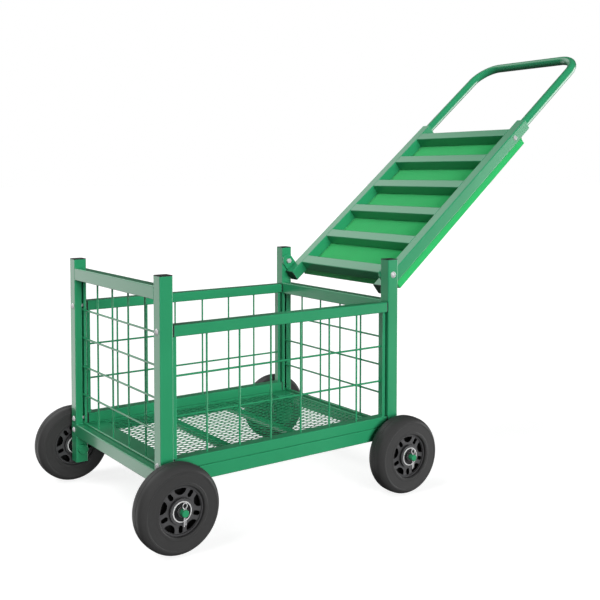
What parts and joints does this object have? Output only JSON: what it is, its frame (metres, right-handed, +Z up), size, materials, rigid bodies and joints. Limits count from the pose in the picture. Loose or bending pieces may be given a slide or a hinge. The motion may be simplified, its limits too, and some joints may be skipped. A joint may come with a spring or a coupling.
{
  "type": "garden cart",
  "caption": "Four-wheeled garden cart with a wire-mesh basket and a hinged padded seat lid whose tube handle swings up to pull it.",
  "frame": {"origin": "centre of the bounding box's bottom face with the lid open: on the floor, on the cart's centre line", "axes": "+X towards the hinged front end, the way the lid and handle reach; +Y to the cart's left; +Z up"},
  "size_m": [0.9952, 0.422, 0.744],
  "materials": {
    "green_frame": "satin powder coat",
    "seat_foam": "matte closed-cell foam, fine grain",
    "black_plug": "moulded",
    "tyre": "smooth solid rubber",
    "hub_plastic": "moulded",
    "bearing_steel": "ground steel",
    "zinc": "bright zinc plate"
  },
  "bodies": {
    "cart": {"post_rear_right": "green_frame", "post_rear_left": "green_frame", "post_front_right": "green_frame", "post_front_left": "green_frame", "frame_plugs": "black_plug", "base_tube_rear": "green_frame", "base_tube_front": "green_frame", "base_tube_right": "green_frame", "base_tube_left": "green_frame", "top_rail_right": "green_frame", "sill_right": "green_frame", "top_rail_left": "green_frame", "sill_left": "green_frame", "top_rail_rear": "green_frame", "top_rail_front": "green_frame", "side_stiles": "green_frame", "wire_grid_right": "green_frame", "wire_grid_left": "green_frame", "wire_grid_rear": "green_frame", "wire_grid_front": "green_frame", "floor_cross_bars": "green_frame", "floor_mesh": "green_frame", "floor_gussets": "green_frame", "floor_edge_strip": "green_frame", "leg_rear_right": "green_frame", "leg_rear_left": "green_frame", "leg_front_right": "green_frame", "leg_front_left": "green_frame", "axle_bolts": "green_frame", "axle_washers": "hub_plastic", "split_pins": "zinc", "frame_screws": "zinc", "pivot_bolts": "zinc", "pivot_nuts": "zinc"},
    "lid": {"lid_rail_right": "green_frame", "lid_rail_left": "green_frame", "lid_plugs": "black_plug", "lid_bar_1": "green_frame", "lid_bar_2": "green_frame", "lid_bar_3": "green_frame", "lid_bar_4": "green_frame", "lid_bar_5": "green_frame", "lid_bar_6": "green_frame", "hinge_tab_right": "green_frame", "hinge_tab_left": "green_frame", "seat_pad": "seat_foam", "handle_tube": "green_frame", "handle_bolts": "zinc"},
    "wheel_rear_right": {"tyre_rear_right": "tyre", "hub_rear_right": "hub_plastic", "bearings_rear_right": "bearing_steel"},
    "wheel_rear_left": {"tyre_rear_left": "tyre", "hub_rear_left": "hub_plastic", "bearings_rear_left": "bearing_steel"},
    "wheel_front_right": {"tyre_front_right": "tyre", "hub_front_right": "hub_plastic", "bearings_front_right": "bearing_steel"},
    "wheel_front_left": {"tyre_front_left": "tyre", "hub_front_left": "hub_plastic", "bearings_front_left": "bearing_steel"}
  },
  "joints": [
    {"name": "lid_hinge", "type": "hinge", "parent": "cart", "child": "lid", "pos_m": [-0.02608, 0, 0.348], "axis": [0, -1, 0], "range_deg": [-37, 141.2]},
    {"name": "wheel_spin_rear_right", "type": "hinge", "parent": "cart", "child": "wheel_rear_right", "pos_m": [-0.43608, -0.18365, 0.0615], "axis": [0, 1, 0], "continuous": true},
    {"name": "wheel_spin_rear_left", "type": "hinge", "parent": "cart", "child": "wheel_rear_left", "pos_m": [-0.43608, 0.18365, 0.0615], "axis": [0, 1, 0], "continuous": true},
    {"name": "wheel_spin_front_right", "type": "hinge", "parent": "cart", "child": "wheel_front_right", "pos_m": [-0.02608, -0.18365, 0.0615], "axis": [0, 1, 0], "continuous": true},
    {"name": "wheel_spin_front_left", "type": "hinge", "parent": "cart", "child": "wheel_front_left", "pos_m": [-0.02608, 0.18365, 0.0615], "axis": [0, 1, 0], "continuous": true}
  ]
}
